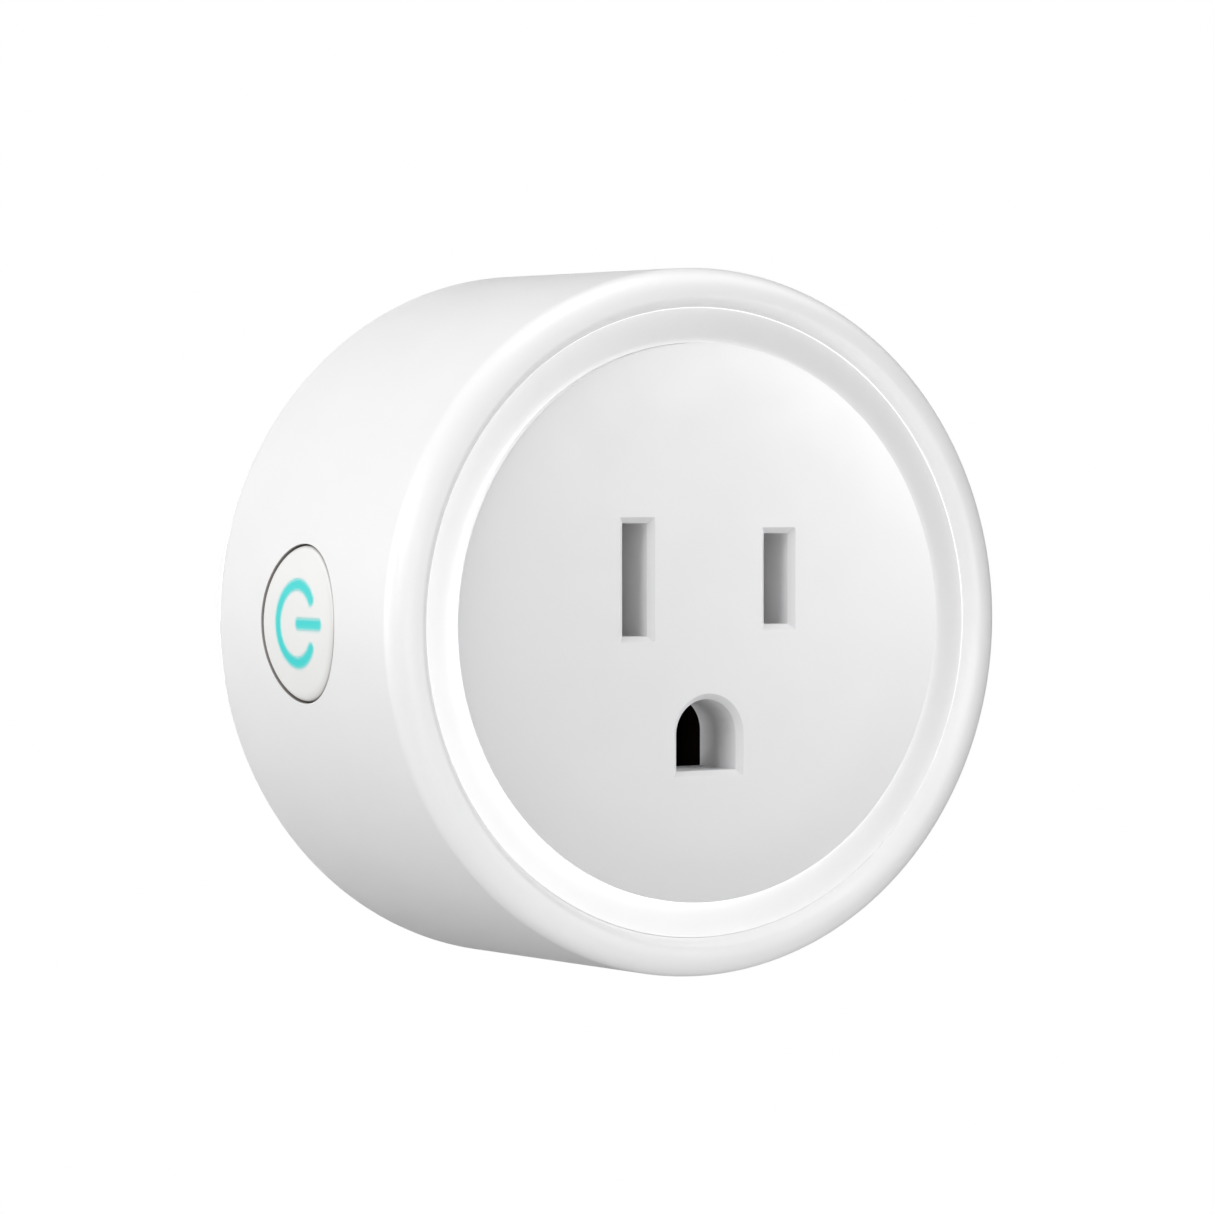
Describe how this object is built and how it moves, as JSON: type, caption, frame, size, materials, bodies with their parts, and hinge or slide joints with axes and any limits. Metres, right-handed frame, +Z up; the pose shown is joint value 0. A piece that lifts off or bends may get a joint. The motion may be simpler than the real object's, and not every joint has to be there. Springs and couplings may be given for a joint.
{
  "type": "smart plug",
  "caption": "Round white smart plug with a three-slot socket, raised rounded rim, side power button and grounded prongs behind.",
  "frame": {"origin": "centre of the flat rear face that meets the wall outlet", "axes": "+Z up, -Y the way the socket faces, +Y along the prongs into the wall; the button is on the -X side"},
  "size_m": [0.0564, 0.05, 0.0564],
  "materials": {
    "white_shell": "satin-gloss moulded polycarbonate",
    "white_face": "fine satin moulded polycarbonate",
    "cyan_light_guide": "translucent light guide lit in cyan",
    "nickel_plate": "nickel-plated brass",
    "brass_plate": "rolled brass",
    "steel": "zinc-plated steel",
    "dark_plastic": "moulded black nylon",
    "relay_blue": "moulded blue relay case",
    "varistor_blue": "dipped epoxy",
    "ferrite": "sintered ferrite",
    "board_green": "solder mask on glass-epoxy board",
    "led_lens": "clear epoxy lens"
  },
  "bodies": {
    "plug": {"side_shell": "white_shell", "front_ring": "white_shell", "socket_plate": "white_face", "rear_cover": "white_face", "neutral_blade": "nickel_plate", "line_blade": "nickel_plate", "ground_pin": "brass_plate", "ground_strap": "brass_plate", "socket_carrier": "dark_plastic", "carrier_cover": "dark_plastic", "neutral_contact": "brass_plate", "line_contact": "brass_plate", "ground_contact": "brass_plate", "carrier_screw_1": "steel", "carrier_screw_2": "steel", "main_board": "board_green", "relay_base": "dark_plastic", "relay_case": "relay_blue", "bulk_capacitor": "dark_plastic", "filter_capacitor": "dark_plastic", "power_inductor": "ferrite", "varistor": "varistor_blue", "fuse": "dark_plastic", "wifi_board": "board_green", "wifi_shield": "steel", "bridge_rectifier": "dark_plastic", "power_ic": "dark_plastic", "neutral_bus_bar": "brass_plate", "line_bus_bar": "brass_plate", "board_screw_1": "steel", "board_screw_2": "steel", "board_screw_3": "steel", "button_board": "board_green", "switch_base": "dark_plastic", "led_upper": "led_lens", "led_lower": "led_lens"},
    "button": {"button_cap": "white_shell", "icon_light_guide": "cyan_light_guide"},
    "switch_plunger": {"switch_plunger": "dark_plastic"}
  },
  "joints": [
    {"name": "button_press", "type": "slide", "parent": "plug", "child": "button", "axis": [1, 0, 0], "range_m": [0, 0.0004], "stiffness_N_per_m": 3000, "springref_m": -0.0001},
    {"name": "plunger_press", "type": "slide", "parent": "plug", "child": "switch_plunger", "axis": [1, 0, 0], "range_m": [0, 0.0004]}
  ],
  "couplings": [
    {"joint": "plunger_press", "follows": "button_press", "ratio": 1}
  ]
}
